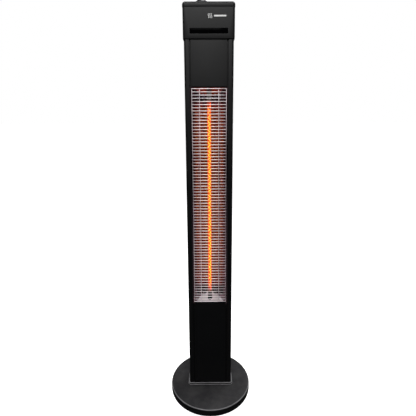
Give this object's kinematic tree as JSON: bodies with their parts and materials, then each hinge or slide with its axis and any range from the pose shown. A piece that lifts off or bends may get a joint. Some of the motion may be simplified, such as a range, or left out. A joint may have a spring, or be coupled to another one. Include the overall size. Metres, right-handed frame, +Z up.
{
  "type": "outdoor heater",
  "caption": "Slim free-standing outdoor heater: a quartz lamp in a mirror trough behind a wire guard, in a box column with a control head and a weighted round base.",
  "frame": {"origin": "on the floor, under the centre of the round base", "axes": "+Z up along the column, the lamp and guard face -Y, +X to the viewer's right"},
  "size_m": [0.3, 0.3, 1.3926],
  "materials": {
    "base_coat": "fine satin black powder coat on the base and collar",
    "column_coat": "fine satin black powder coat on the column",
    "head_plastic": "charcoal moulded plastic with a fine spark-eroded grain",
    "smoked_window": "gloss black smoked acrylic",
    "switch_plastic": "black moulded switch plastic, semi-gloss",
    "black_plastic": "black nylon and cable sheath",
    "guard_steel": "bright plated welded wire",
    "mirror_aluminium": "polished rolled aluminium with slight heat tint",
    "raw_aluminium": "plain extruded aluminium",
    "zinc_steel": "bright zinc-plated steel",
    "spring_steel": "drawn spring wire",
    "holder_steel": "heat-darkened stainless sheet",
    "quartz": "clear quartz with a gold heat-filter tint",
    "glowing_filament": "incandescent orange-yellow element",
    "ceramic": "unglazed steatite ceramic",
    "circuit_board": "green solder-masked board",
    "component_plastic": "dark moulded component plastic",
    "indicator_lens": "red diffused lens",
    "terminal_plastic": "natural nylon",
    "rubber": "soft black rubber",
    "cast_iron": "black painted rough casting"
  },
  "bodies": {
    "heater": {"base_cover": "base_coat", "base_weight": "cast_iron", "base_bottom_plate": "zinc_steel", "column_collar": "base_coat", "rubber_foot_1": "rubber", "rubber_foot_2": "rubber", "rubber_foot_3": "rubber", "rubber_foot_4": "rubber", "rubber_foot_5": "rubber", "column_bolt_1": "zinc_steel", "column_bolt_2": "zinc_steel", "column_bolt_3": "zinc_steel", "column_bolt_4": "zinc_steel", "tip_switch_housing": "component_plastic", "tip_spring": "spring_steel", "right_post": "column_coat", "left_post": "column_coat", "lower_front_panel": "column_coat", "upper_front_panel": "column_coat", "rear_panel": "column_coat", "bottom_bracket": "zinc_steel", "top_bracket": "zinc_steel", "rear_screw_1": "zinc_steel", "rear_screw_2": "zinc_steel", "rear_screw_3": "zinc_steel", "rear_screw_4": "zinc_steel", "terminal_block": "terminal_plastic", "cable_gland": "black_plastic", "gland_nut": "black_plastic", "reflector": "mirror_aluminium", "reflector_end_bottom": "mirror_aluminium", "reflector_end_top": "mirror_aluminium", "lamp_holder_bottom": "holder_steel", "lamp_holder_top": "holder_steel", "lamp_cap_bottom": "ceramic", "lamp_cap_top": "ceramic", "quartz_tube": "quartz", "filament": "glowing_filament", "wire_guard": "guard_steel", "guard_stay_left": "guard_steel", "guard_stay_right": "guard_steel", "heat_shield": "holder_steel", "supply_harness": "black_plastic", "head_shell": "head_plastic", "head_cap": "head_plastic", "head_baffle": "holder_steel", "display_window": "smoked_window", "control_board": "circuit_board", "relay": "component_plastic", "heat_sink": "raw_aluminium", "infrared_receiver": "component_plastic", "indicator_led_1": "indicator_lens", "indicator_led_2": "indicator_lens", "switch_housing": "switch_plastic"},
    "rocker": {"switch_rocker": "switch_plastic"},
    "plunger": {"tip_plunger": "terminal_plastic"}
  },
  "joints": [
    {"name": "rocker_tilt", "type": "hinge", "parent": "heater", "child": "rocker", "pos_m": [-0.0225, -0.0092, 1.3839], "axis": [0, -1, 0], "range_deg": [0, 20]},
    {"name": "plunger_slide", "type": "slide", "parent": "heater", "child": "plunger", "axis": [0, 0, -1], "range_m": [0, 0.003], "stiffness_N_per_m": 100, "springref_m": 0.006, "deforming": ["tip_spring"]}
  ]
}
